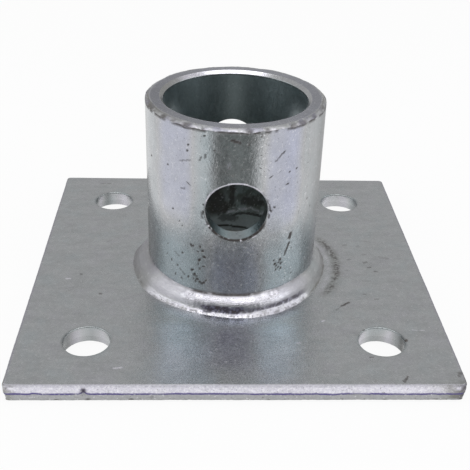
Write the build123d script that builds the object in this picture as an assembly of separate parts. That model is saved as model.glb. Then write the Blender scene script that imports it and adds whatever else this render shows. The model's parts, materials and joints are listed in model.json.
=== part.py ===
from build123d import *
from math import radians, tan
import os

# Flange plate: a short, thick-walled socket tube stands upright on a square steel plate and is welded
# to it all round. Bolts through the four corner holes fix the plate, a post drops into the tube from
# above, and a pin through the tube, from front to back, holds the post.
# Sizes are in millimetres. +Z is up, and the origin is the centre of the plate's underside.

# Base plate, cut from sheet on a shear, with punched bolt holes
plate_width = 140.0
plate_depth = 140.0
plate_thickness = 6.0
plate_corner_radius = 1.5
bolt_spacing_x = 95.0
bolt_spacing_y = 96.5
bolt_hole_diameter = 15.0

# A cut edge of the plate, outside and in the holes: rolled over at the top, smooth for a share of the
# thickness, and below that broken off at an angle, away from the metal that was cut off
rolled_edge_radius = 0.5
smooth_share = 0.55
break_angle = 8.0

# Socket tube, with a bevel inside its mouth and a wider, flatter ground bevel outside
tube_diameter = 60.3
tube_wall = 6.0
tube_height = 65.5
mouth_bevel = 1.1
rim_bevel_width = 1.2
rim_bevel_drop = 0.8

# Pin hole, drilled through both walls of the tube along Y, its outer edges rounded
pin_hole_diameter = 20.0
pin_hole_height_above_plate = 37.0
pin_hole_edge_radius = 0.4

# Fillet weld around the foot of the tube: a full crown, and a hollow toe that runs out on the plate
weld_leg_up_tube = 6.0
weld_leg_along_plate = 5.2
weld_crown = 0.7
weld_toe_length = 1.2
weld_toe_rise = 1.3
weld_toe_hollow = 0.2

# Length by which a cutting tool stands clear of the metal it cuts
tool_overrun = 2.0

tube_radius = tube_diameter / 2
bore_radius = tube_radius - tube_wall
tube_top = plate_thickness + tube_height
pin_hole_height = plate_thickness + pin_hole_height_above_plate
break_height = plate_thickness * (1 - smooth_share)
break_slope = tan(radians(break_angle))


def bolt_hole_cutter():
    """The space of one punched hole: rolled mouth, smooth bore, and a cone where the slug broke out."""
    radius = bolt_hole_diameter / 2
    roll_start = plate_thickness - rolled_edge_radius
    cutter_top = plate_thickness + tool_overrun
    with BuildPart() as cutter:
        with BuildSketch(Plane.XZ):
            with BuildLine():
                Polyline(
                    (0, cutter_top),
                    (0, -tool_overrun),
                    (radius + (break_height + tool_overrun) * break_slope, -tool_overrun),
                    (radius, break_height),
                    (radius, roll_start),
                )
                roll = RadiusArc(
                    (radius, roll_start),
                    (radius + rolled_edge_radius, plate_thickness),
                    rolled_edge_radius,
                )
                Polyline(roll @ 1, (radius + rolled_edge_radius, cutter_top), (0, cutter_top))
            make_face()
        revolve(axis=Axis.Z)
    return cutter.part


def make_base_plate():
    """The sheared plate with its four punched bolt holes."""
    break_inset = break_height * break_slope
    with BuildPart() as plate:
        with BuildSketch(Plane.XY):
            RectangleRounded(
                plate_width - 2 * break_inset,
                plate_depth - 2 * break_inset,
                plate_corner_radius - break_inset,
            )
        with BuildSketch(Plane.XY.offset(break_height)):
            RectangleRounded(plate_width, plate_depth, plate_corner_radius)
        loft()
        extrude(plate.faces().sort_by(Axis.Z)[-1], amount=plate_thickness - break_height)
        fillet(plate.faces().sort_by(Axis.Z)[-1].edges(), rolled_edge_radius)
        with GridLocations(bolt_spacing_x, bolt_spacing_y, 2, 2):
            add(bolt_hole_cutter(), mode=Mode.SUBTRACT)
    return plate.part


def make_socket_tube():
    """The tube with both bevels of its rim, drilled across for the pin."""
    with BuildPart() as tube:
        with BuildSketch(Plane.XZ):
            with BuildLine():
                Polyline(
                    (bore_radius, plate_thickness),
                    (tube_radius, plate_thickness),
                    (tube_radius, tube_top - rim_bevel_drop),
                    (tube_radius - rim_bevel_width, tube_top),
                    (bore_radius + mouth_bevel, tube_top),
                    (bore_radius, tube_top - mouth_bevel),
                    close=True,
                )
            make_face()
        revolve(axis=Axis.Z)
        with Locations((0, 0, pin_hole_height)):
            Cylinder(
                pin_hole_diameter / 2,
                tube_diameter + 2 * tool_overrun,
                rotation=(90, 0, 0),
                mode=Mode.SUBTRACT,
            )
        hole_edges = tube.edges(Select.NEW).sort_by(Axis.Y)
        fillet([hole_edges[0], hole_edges[-1]], pin_hole_edge_radius)
    return tube.part


def make_weld_bead():
    """The fillet weld, seated on the tube's wall and on the plate."""
    foot = (tube_radius, plate_thickness)
    upper_toe = (tube_radius, plate_thickness + weld_leg_up_tube)
    lower_toe = (tube_radius + weld_leg_along_plate, plate_thickness)
    crown_end = (lower_toe[0] - weld_toe_length, plate_thickness + weld_toe_rise)
    with BuildPart() as bead:
        with BuildSketch(Plane.XZ):
            with BuildLine():
                Polyline(lower_toe, foot, upper_toe)
                SagittaArc(upper_toe, crown_end, weld_crown)
                SagittaArc(crown_end, lower_toe, -weld_toe_hollow)
            make_face()
        revolve(axis=Axis.Z)
    return bead.part


NODES = {
    "base_plate": make_base_plate,
    "socket_tube": make_socket_tube,
    "weld_bead": make_weld_bead,
}

os.makedirs("parts", exist_ok=True)
for node, make in NODES.items():
    shape = make()
    shape.label = node
    export_step(shape, f"parts/{node}.step")
    print(node, "volume", round(shape.volume, 1), "valid", shape.is_valid)
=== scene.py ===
import json
import math

import bpy
import numpy as np
from mathutils import Matrix, Vector, geometry


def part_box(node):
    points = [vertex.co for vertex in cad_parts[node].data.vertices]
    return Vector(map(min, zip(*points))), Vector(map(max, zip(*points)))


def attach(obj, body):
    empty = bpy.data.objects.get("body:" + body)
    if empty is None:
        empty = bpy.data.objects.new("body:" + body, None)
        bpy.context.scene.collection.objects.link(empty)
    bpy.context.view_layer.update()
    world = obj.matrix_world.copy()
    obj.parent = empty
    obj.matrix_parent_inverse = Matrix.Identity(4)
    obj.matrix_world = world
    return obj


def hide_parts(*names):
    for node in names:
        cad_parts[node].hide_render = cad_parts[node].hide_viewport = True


# The looks of the flange plate: a zinc plated plate, tube and weld bead, each a fine mesh around the CAD's
# sizes, with the sheared edges, ground rim, pits, scratches and spatter of the real one.
# Shapes are worked out in millimetres, and turned into metres when a mesh is made.
# A turn is an angle around the tube in degrees: 0 is the front (-Y), 90 the right (+X), 180 the back.
# noise, layered_noise, patches and marked each take a seed, so that every run gives the same shapes.

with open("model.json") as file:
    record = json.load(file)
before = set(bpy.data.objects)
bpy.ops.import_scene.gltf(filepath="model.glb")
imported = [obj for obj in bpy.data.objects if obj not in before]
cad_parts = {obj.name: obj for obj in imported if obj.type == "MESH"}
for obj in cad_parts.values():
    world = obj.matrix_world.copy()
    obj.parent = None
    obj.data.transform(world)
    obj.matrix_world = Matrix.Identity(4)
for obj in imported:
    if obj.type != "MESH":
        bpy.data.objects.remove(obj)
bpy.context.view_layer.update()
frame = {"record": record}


# Sizes taken from the CAD

def millimetres(corners):
    return [np.array(corner) * 1000.0 for corner in corners]


plate_half_x, plate_half_y, plate_top = millimetres(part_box("base_plate"))[1]
tube_low, tube_high = millimetres(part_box("socket_tube"))
tube_radius = tube_high[0]
tube_foot = tube_low[2]
tube_top = tube_high[2]
mounts = {mount["name"]: mount for mount in frame["record"]["mounts"]}
bore_radius = mounts["post_socket"]["dims"]["r_mm"]
pin_radius = mounts["pin_hole"]["dims"]["r_mm"]
pin_height = mounts["pin_hole"]["pos_m"][2] * 1000.0
bolts = mounts["bolt_holes"]["dims"]
bolt_radius = bolts["hole_r_mm"]
bolt_centres = [(sx * bolts["spacing_x_mm"] / 2, sy * bolts["spacing_y_mm"] / 2)
                for sx in (-1, 1) for sy in (-1, 1)]


# Noise and small shapes

# Factors that scramble a cell's three numbers and a seed into one, and a shift that keeps cells above zero
axis_factors = np.array([374761393, 668265263, 2147483647])
mixing_factor = 1274126177
low_32_bits = 0xFFFFFFFF
positive_cells = 1000.0


def lattice(cells, seed):
    """A repeatable value from -1 to 1 for each whole-number point."""
    h = (cells @ axis_factors + seed * mixing_factor) & low_32_bits
    h = ((h ^ (h >> 13)) * mixing_factor) & low_32_bits
    h = (h ^ (h >> 16)) & low_32_bits
    return h / (low_32_bits / 2) - 1.0


def noise(points, size, seed):
    """Smooth noise from about -1 to 1. Its features have that size, one number or one for each axis."""
    p = np.asarray(points, float) / np.asarray(size, float) + positive_cells
    cells = np.floor(p).astype(np.int64)
    f = p - cells
    f = f * f * f * (f * (f * 6 - 15) + 10)
    total = np.zeros(len(p))
    for corner in np.ndindex(2, 2, 2):
        weight = np.where(corner, f, 1 - f)
        total += weight[:, 0] * weight[:, 1] * weight[:, 2] * lattice(cells + corner, seed)
    return total


def layered_noise(points, size, seed):
    total = np.zeros(len(points))
    for i in range(3):
        total += noise(points, np.asarray(size, float) / 2 ** i, seed + i) * 0.5 ** i
    return total


def ramp(value, start, end):
    """0 at start, 1 at end, smooth between."""
    t = np.clip((value - start) / (end - start), 0, 1)
    return t * t * (3 - 2 * t)


def band(value, start, full, still_full, end):
    """1 from full to still_full, falling off to 0 at start and end."""
    return ramp(value, start, full) * ramp(value, end, still_full)


def bell(value, centre, half):
    return np.exp(-((value - centre) / half) ** 2)


def patches(points, size, seed, start, end):
    """Ragged patches: 0 where the noise is below start, 1 where it is above end."""
    return ramp(noise(points, size, seed), start, end)


def strongest(*layers):
    """The largest of several layers at each point."""
    return np.maximum.reduce(np.broadcast_arrays(*layers))


def turns_apart(turn, centre):
    """The degrees from one turn to another, the short way round."""
    return abs((turn - centre + 180) % 360 - 180)


def polar(points):
    """Distance from the tube's axis, and turn around it."""
    return np.hypot(points[:, 0], points[:, 1]), np.degrees(np.arctan2(points[:, 0], -points[:, 1]))


def around(readings, turns):
    """A quantity read at some turns, as a smooth closed curve at other turns."""
    blur = 5.0
    reach = 20
    at, value = np.array(readings, float).T
    order = np.argsort(at % 360)
    steps = np.arange(360.0)
    curve = np.interp(steps, (at % 360)[order], value[order], period=360)
    offsets = np.arange(-reach, reach + 1)
    weights = np.exp(-0.5 * (offsets / blur) ** 2)
    curve = sum(w * np.roll(curve, o) for w, o in zip(weights, offsets)) / weights.sum()
    return np.interp(np.asarray(turns) % 360, steps, curve, period=360)


def segment_distance(u, v, start, end):
    """Distance from points (u, v) to the line between two points."""
    start, end = np.array(start, float), np.array(end, float)
    along = end - start
    t = np.clip(((u - start[0]) * along[0] + (v - start[1]) * along[1]) / max(along @ along, 1e-9), 0, 1)
    return np.hypot(u - start[0] - t * along[0], v - start[1] - t * along[1])


def marked(points, u, v, marks, seed):
    """Depth and dirt of marks, each (start, end, half width, depth, dirt), on an unrolled surface."""
    depth = np.zeros(len(points))
    dirt = np.zeros(len(points))
    ragged = 1 + 0.45 * noise(points, 0.7, seed) + 0.25 * noise(points, 0.35, seed + 1)
    for start, end, half_width, deep, dark in marks:
        near = segment_distance(u, v, start, end) / (half_width * ragged)
        depth = np.maximum(depth, deep * np.exp(-near ** 2 * 1.2))
        dirt = np.maximum(dirt, dark * (1 - ramp(near, 0.85, 1.45)))
    return depth, dirt


# Meshes, gathered row by row

class Shell:
    """The points and faces of one closed surface, with named values beside the points."""

    def __init__(self):
        self.blocks = []
        self.values = []
        self.count = 0
        self.faces = []

    def add(self, points, **values):
        """Adds points and returns their numbers."""
        points = np.asarray(points, float).reshape(-1, 3)
        self.blocks.append(points)
        self.values.append(values)
        self.count += len(points)
        return np.arange(self.count - len(points), self.count)

    def join(self, *rows):
        """Quads between closed rows, facing whoever sees them run left to right, each above the last."""
        for row, next_row in zip(rows, rows[1:]):
            a, b = np.append(row, row[0]), np.append(next_row, next_row[0])
            self.faces.extend(np.stack([a[:-1], a[1:], b[1:], b[:-1]], axis=1).tolist())

    def grow(self, row, points, **values):
        """Adds a closed row, joined to the row before it, and returns its numbers."""
        next_row = self.add(points, **values)
        self.join(row, next_row)
        return next_row

    def points(self):
        return np.concatenate(self.blocks)

    def named(self, *keys):
        """The named values for all points, 0 in the blocks that lack them."""
        blocks = list(zip(self.blocks, self.values))
        return [np.concatenate([values.get(key, 0.0) + np.zeros(len(block)) for block, values in blocks])
                for key in keys]

    def make(self, name, points, looks):
        """The finished object. looks are values by point that the material reads."""
        mesh = bpy.data.meshes.new(name)
        mesh.from_pydata((points / 1000.0).tolist(), [], self.faces)
        for key, values in looks.items():
            layer = mesh.attributes.new(key, "FLOAT", "POINT")
            layer.data.foreach_set("value", np.clip(values, -1, 1).astype(np.float32))
        mesh.shade_smooth()
        mesh.validate()
        obj = bpy.data.objects.new(name, mesh)
        bpy.context.scene.collection.objects.link(obj)
        return obj


def on_wall(radius, turns, heights):
    """Points of an upright cylinder around the tube's axis."""
    a = np.radians(turns)
    return np.stack([radius * np.sin(a), -radius * np.cos(a), heights + 0 * a], axis=-1)


def rounded(leans):
    """A rounded edge of radius 1: its distances from its two faces, at leans in degrees."""
    return [(1 - math.sin(math.radians(lean)), 1 - math.cos(math.radians(lean))) for lean in leans]


# Socket tube, with those sizes of its rim and the pin hole's edges that the frame doesn't state

rim_bevel_width = 1.2
rim_bevel_drop = 0.8
mouth_bevel = 1.1
pin_edge_radius = 0.4
pin_inner_edge = 0.25

# The rim's outer bevel, as shares of its width and drop and a way below them, and the bevel inside the mouth
rim_profile = [(0.0, 1.0, 0.35), (0.0, 1.0, 0.12), (0.03, 1.0, 0.0), (0.10, 0.93, 0.0), (0.28, 0.76, 0.0),
               (0.46, 0.58, 0.0), (0.64, 0.40, 0.0), (0.80, 0.23, 0.0), (0.92, 0.09, 0.0), (1.0, 0.02, 0.0),
               (1.12, 0.0, 0.0)]
mouth_profile = [(1.05, 0.01), (0.97, 0.07), (0.75, 0.27), (0.5, 0.52), (0.25, 0.76), (0.06, 0.93),
                 (0.0, 1.02), (0.0, 1.25)]

# Places where the grinder skipped on the rim: turn, half width in degrees, extra drop of the bevel
rim_lumps = [(-70, 5, 0.45), (-52, 2.2, 0.55), (-43, 2.0, 0.25), (-33, 2.4, 0.6), (-22, 1.5, 0.2),
             (6, 2.2, 0.35), (17, 1.5, 0.25), (35, 2.5, 0.5), (43, 3, 0.4), (55, 2, 0.2), (71, 4, 0.3),
             (124, 3, 0.4), (160, 2, 0.3), (201, 3, 0.45), (238, 2, 0.3)]

# Pits of the tube's wall, as turn, height and half width
tube_pits = [
    (-31, 64.6, 0.3), (-31.4, 62.6, 0.3), (-5.3, 58.7, 0.25), (39, 55.8, 0.3), (20.3, 54.8, 0.3),
    (32.6, 51.2, 0.3), (33.5, 55.3, 0.25), (27, 56, 0.25), (52.4, 42.6, 0.3), (56.8, 38.8, 0.3),
    (-66.4, 54.5, 0.35), (-46.8, 55.5, 0.25), (-30, 51.3, 0.25), (-42.7, 40.3, 0.25), (-37.6, 36.5, 0.25),
    (-35.4, 35.2, 0.25), (-17.6, 38.8, 0.3), (21.8, 42.7, 0.3), (24, 43.9, 0.25), (13.5, 69.1, 0.3),
    (5.7, 66.6, 0.25), (-20.4, 68.6, 0.3), (-14.1, 64.3, 0.25), (-22.6, 29.2, 0.35), (-21, 27.7, 0.42),
    (-24, 27, 0.28), (-20.1, 25.5, 0.45), (-19.2, 25.7, 0.42), (-22.8, 23.9, 0.48), (-23.6, 22.4, 0.38),
    (-19.8, 21.9, 0.42), (-22.4, 20.8, 0.33), (-28.2, 19.4, 0.33), (-26.9, 19.7, 0.3), (-26.2, 17.8, 0.48),
    (-27, 16.1, 0.36), (-25.4, 15.4, 0.38), (-24, 16.2, 0.42), (-22.6, 15.4, 0.36), (-24.6, 17.4, 0.28),
    (-21.1, 15, 0.4), (-19.7, 15.5, 0.33), (-18.5, 16.4, 0.42), (-35.2, 24.9, 0.3), (-44.5, 20.3, 0.25),
    (-39.1, 19.1, 0.28), (-41.1, 15.4, 0.25), (-30.7, 16.2, 0.3), (-36, 14.9, 0.25), (-47.9, 25.8, 0.25),
    (-48.7, 21.9, 0.25), (26.8, 22.1, 0.38), (27.8, 21.2, 0.42), (30.5, 23.3, 0.4), (29.4, 20.5, 0.38),
    (31.5, 19.7, 0.35), (25.7, 23.5, 0.32), (31.2, 21.7, 0.42), (29.2, 22.3, 0.32), (27.4, 19.9, 0.33)]
pit_depth = 0.12

# Scratches of the tube's wall: start and end as turn and height, half width, depth and dirt
tube_scratches = [
    ((-3.9, 67.8), (0.8, 67.3), 0.4, 0.08, 1.0), ((-36.8, 58.4), (-29.3, 59.6), 0.22, 0.04, 0.4),
    ((-23.2, 60.2), (-22.3, 61.3), 0.25, 0.05, 0.55), ((-19.7, 62.4), (-19.7, 61.3), 0.25, 0.05, 0.55),
    ((29.3, 63.1), (27.6, 62.4), 0.3, 0.05, 0.8), ((27.6, 62.4), (22.9, 60.1), 0.22, 0.05, 0.5),
    ((-36.2, 48.8), (-33.3, 49.1), 0.25, 0.05, 0.5), ((-22, 42), (-20.9, 40.2), 0.3, 0.06, 0.6),
    ((20.5, 44.9), (21.8, 42.7), 0.25, 0.05, 0.5), ((37.6, 32), (37, 30.8), 0.6, 0.15, 1.0),
    ((36.9, 28.6), (34.6, 25.8), 0.3, 0.06, 0.9), ((34.6, 25.8), (33.8, 24.5), 0.28, 0.06, 0.8),
    ((-31.5, 29.5), (-29.3, 29.2), 0.22, 0.03, 0.35), ((-28.6, 29.1), (-27.4, 28.9), 0.42, 0.08, 1.0),
    ((-41.9, 24.2), (-37.6, 23.1), 0.22, 0.03, 0.4), ((-37.3, 18.3), (-33.5, 16.7), 0.26, 0.04, 0.5)]

# Burnt marks low on the tube's inner back wall: start and end as x and height, half width, depth and dirt
scorch_marks = [
    ((-7.0, 23.0), (-3.0, 16.0), 2.6, 0, 0.9), ((0.9, 26.0), (0.9, 17.6), 0.9, 0, 0.85),
    ((5.8, 19.8), (11.4, 20.0), 1.5, 0, 0.85), ((1.8, 12.6), (5.0, 14.1), 0.5, 0, 0.8),
    ((5.0, 14.1), (13.4, 14.1), 0.45, 0, 0.8), ((-2.8, 11.6), (1.6, 11.8), 1.4, 0, 0.6),
    ((-4.8, 8.2), (7.5, 7.4), 0.35, 0, 1.0)]


def tube_marks():
    """Pits and scratches of the tube, as (start, end, half width, depth, dirt) on its unrolled wall."""
    to_mm = math.radians(tube_radius)
    marks = [((turn, z), (turn, z), size, pit_depth, 1.0) for turn, z, size in tube_pits] + tube_scratches
    return [((a[0] * to_mm, a[1]), (b[0] * to_mm, b[1]), w, d, s) for a, b, w, d, s in marks]


def wall_reach(radius, x):
    """How far a round wall stands from the middle plane at x."""
    return np.sqrt(radius ** 2 - x ** 2)


def tube_shell():
    """The tube's surface: outer and inner wall, the pin hole's two walls, and the rim."""
    shell = Shell()
    turns = np.concatenate([np.arange(-100, -62, 1.0), np.arange(-62, 62, 0.7), np.arange(62, 100, 1.0),
                            np.arange(100, 260, 1.5)])
    n = len(turns)
    pin_sides = (0.0, 180.0)
    window_half_turn = 33.0
    window_half_height = 13.3
    window_low, window_high = pin_height - window_half_height, pin_height + window_half_height
    window_rows = np.linspace(window_low, window_high, 59)
    step = 0.44
    outer_z = np.concatenate([[tube_foot, 8.0, 9.6], np.arange(10.8, window_low - 0.2, step), window_rows,
                              np.arange(window_high + step, tube_top - rim_bevel_drop - 0.9, step)])
    inner_z = np.concatenate([[tube_foot], np.arange(7.0, 17.2, 0.42),
                              np.linspace(18.2, window_low - 0.9, 10), window_rows,
                              np.linspace(window_high + 1.4, tube_top - mouth_bevel - 0.5, 7)])

    def wall(radius, heights, outward):
        """A wall with a window left open round each pin hole. Returns its rows and the windows' rims."""
        low = int(np.argmin(abs(heights - window_low)))
        high = int(np.argmin(abs(heights - window_high)))
        spans = []
        for centre in pin_sides:
            near = np.where(abs(turns - centre) <= window_half_turn + 0.01)[0]
            spans.append((near[0], near[-1]))
        ids = -np.ones((len(heights), n), int)
        for j, z in enumerate(heights):
            keep = np.ones(n, bool)
            if low < j < high:
                for first, last in spans:
                    keep[first + 1:last] = False
            ids[j, keep] = shell.add(on_wall(radius, turns[keep], z))
        for j in range(len(heights) - 1):
            keep = np.ones(n, bool)
            if low <= j < high:
                for first, last in spans:
                    keep[first:last] = False
            i = np.where(keep)[0]
            k = (i + 1) % n
            quads = np.stack([ids[j, i], ids[j, k], ids[j + 1, k], ids[j + 1, i]], axis=1)
            shell.faces.extend((quads if outward else quads[:, ::-1]).tolist())
        rims = []
        for (first, last), centre in zip(spans, pin_sides):
            i = np.concatenate([np.arange(first, last), np.full(high - low, last),
                                np.arange(last, first, -1), np.full(high - low, first)])
            j = np.concatenate([np.full(last - first, low), np.arange(low, high),
                                np.full(last - first, high), np.arange(high, low, -1)])
            rims.append((ids[j, i], turns[i] - centre, heights[j]))
        return ids, rims

    outer_ids, outer_rims = wall(tube_radius, outer_z, True)
    inner_ids, inner_rims = wall(bore_radius, inner_z, False)

    # Pin hole walls, between the windows of the outer and the inner wall
    for centre, (ring_out, columns, rows), (ring_in, _, _) in zip(pin_sides, outer_rims, inner_rims):
        angle = np.arctan2(rows - pin_height, tube_radius * np.sin(np.radians(columns)))
        flip = math.cos(math.radians(centre))

        def on_side(x, y, z):
            return np.stack([x * flip, -y * flip, z], axis=-1)

        def blended(radius, share, start):
            """A ring on a wall, at a share of the way from the hole's edge to the window's rim."""
            x = (1 - share) * start * np.cos(angle) + share * radius * np.sin(np.radians(columns))
            z = (1 - share) * (pin_height + start * np.sin(angle)) + share * rows
            return on_side(x, wall_reach(radius, x), z)

        def in_hole(distance, share, below_outer, above_inner):
            """A ring round the hole's axis, at a share of the way from the outer wall to the inner one."""
            x = distance * np.cos(angle)
            outer = wall_reach(tube_radius, x) - below_outer
            inner = wall_reach(bore_radius, x) + above_inner
            return on_side(x, (1 - share) * outer + share * inner, pin_height + distance * np.sin(angle))

        row = ring_out
        for share in (1 - np.linspace(0, 1, 11)[1:]) ** 1.25:
            row = shell.grow(row, blended(tube_radius, share, pin_radius + pin_edge_radius))
        for aside, down in rounded((25, 50, 72, 90)):
            row = shell.grow(row, in_hole(pin_radius + pin_edge_radius * aside, 0, pin_edge_radius * down, 0))
        for share in np.linspace(0, 1, 13)[1:]:
            row = shell.grow(row, in_hole(pin_radius, share, pin_edge_radius, pin_inner_edge))
        for aside, down in rounded((60, 25, 0)):
            row = shell.grow(row, in_hole(pin_radius + pin_inner_edge * aside, 1, 0, pin_inner_edge * down))
        for share in np.linspace(0, 1, 8)[1:-1] ** 1.2:
            row = shell.grow(row, blended(bore_radius, share, pin_radius + pin_inner_edge))
        shell.join(row, ring_in)

    # Rim: ground bevel outside, flat annulus, cleaner bevel inside the mouth
    circle = on_wall(1.0, turns, 0) * tube_radius
    drop = rim_bevel_drop * (1 + 0.22 * noise(circle, 4.0, 11))
    width = rim_bevel_width * (1 + 0.2 * noise(circle, 5.0, 12))
    for turn, half, extra in rim_lumps:
        lump = extra * bell(turns_apart(turns, turn), 0, half)
        drop += lump
        width += 0.5 * lump
    row = outer_ids[-1]
    for inward, down, below in rim_profile:
        bevel = float(0.0 < inward < 1.1)
        place = on_wall(tube_radius - inward * width, turns, tube_top - down * drop - below)
        row = shell.grow(row, place, bevel=bevel, under=float(below > 0), up_bevel=bevel * (1 - down))
    for radius in np.linspace(tube_radius - 1.9, bore_radius + mouth_bevel + 0.25, 7):
        row = shell.grow(row, on_wall(radius, turns, tube_top), annulus=1.0)
    for out, down in mouth_profile:
        place = on_wall(bore_radius + out * mouth_bevel, turns, tube_top - down * mouth_bevel)
        row = shell.grow(row, place, mouth=float(out > 0.0), mouth_foot=float(out == 0.0))
    shell.join(row, inner_ids[-1])
    shell.join(inner_ids[0], outer_ids[0])
    return shell


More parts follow.
